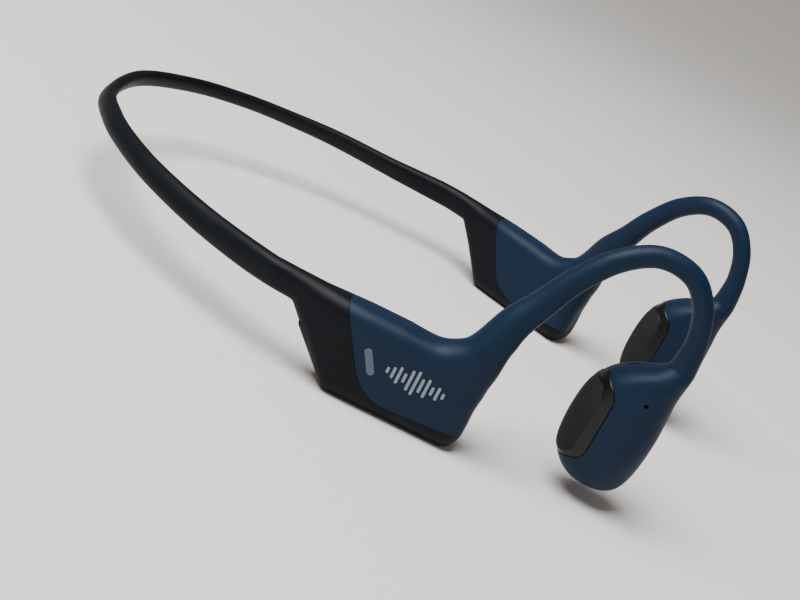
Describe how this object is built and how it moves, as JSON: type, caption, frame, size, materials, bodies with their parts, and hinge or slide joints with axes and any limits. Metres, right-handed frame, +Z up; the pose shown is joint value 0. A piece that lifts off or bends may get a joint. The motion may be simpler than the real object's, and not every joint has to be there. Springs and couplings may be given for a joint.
{
  "type": "bone conduction headphones",
  "caption": "Wrap-around open-ear bone conduction headset: a sprung neckband joins two slim cases with ear hooks that carry padded vibrating transducers.",
  "frame": {"origin": "under the middle of the headset's bounding box, on the surface that it lies on", "axes": "+Z up as worn; the wearer faces -Y, with the neckband at +Y; the wearer's right side, with the volume buttons, is at -X"},
  "size_m": [0.1106, 0.1458, 0.0525],
  "materials": {
    "band_silicone": "satin silicone, navy black",
    "soft_touch_blue": "soft-touch satin, deep blue",
    "soft_touch_black": "soft-touch satin, black",
    "pad_rubber": "fine-grained matt rubber, charcoal",
    "light_window": "milky pale blue window",
    "inner_plastic": "moulded dark plastic",
    "circuit_board": "green solder mask",
    "battery_foil": "laminated pouch foil",
    "spring_steel": "brushed",
    "memory_alloy": "drawn wire",
    "contact_gold": "gold plated, polished",
    "copper_wire": "enamelled copper"
  },
  "bodies": {
    "headset": {"band_sleeve": "band_silicone", "band_memory_wire": "memory_alloy", "band_lead": "copper_wire", "right_case_and_hook_skin": "soft_touch_blue", "right_rear_cap": "soft_touch_black", "right_hook_wire": "memory_alloy", "right_hook_lead": "copper_wire", "right_transducer_housing": "soft_touch_blue", "right_pad": "pad_rubber", "right_tray": "inner_plastic", "right_tray_lid": "inner_plastic", "main_board": "circuit_board", "button_board": "circuit_board", "status_light_pipe": "light_window", "charging_port_plate": "inner_plastic", "charging_contact_upper": "contact_gold", "charging_contact_lower": "contact_gold", "charging_magnet": "spring_steel", "right_magnet_yoke": "spring_steel", "right_magnet": "spring_steel", "right_pole_plate": "spring_steel", "right_voice_coil": "copper_wire", "right_armature_plate": "spring_steel", "right_spring_plate": "spring_steel", "right_pad_plate": "spring_steel", "right_microphone": "inner_plastic", "left_case_and_hook_skin": "soft_touch_blue", "left_rear_cap": "soft_touch_black", "left_hook_wire": "memory_alloy", "left_hook_lead": "copper_wire", "left_transducer_housing": "soft_touch_blue", "left_pad": "pad_rubber", "left_tray": "inner_plastic", "left_tray_lid": "inner_plastic", "battery": "battery_foil", "left_magnet_yoke": "spring_steel", "left_magnet": "spring_steel", "left_pole_plate": "spring_steel", "left_voice_coil": "copper_wire", "left_armature_plate": "spring_steel", "left_spring_plate": "spring_steel", "left_pad_plate": "spring_steel", "left_microphone": "inner_plastic"},
    "volume_up": {"volume_up_button": "soft_touch_black"},
    "volume_down": {"volume_down_button": "soft_touch_black"},
    "multifunction": {"multifunction_button": "soft_touch_blue"}
  },
  "joints": [
    {"name": "volume_up_press", "type": "slide", "parent": "headset", "child": "volume_up", "axis": [0, 0, 1], "range_m": [0, 0.00035], "stiffness_N_per_m": 3000},
    {"name": "volume_down_press", "type": "slide", "parent": "headset", "child": "volume_down", "axis": [0, 0, 1], "range_m": [0, 0.00035], "stiffness_N_per_m": 3000},
    {"name": "multifunction_press", "type": "slide", "parent": "headset", "child": "multifunction", "axis": [-1, 0, 0], "range_m": [0, 0.0004], "stiffness_N_per_m": 3000}
  ]
}
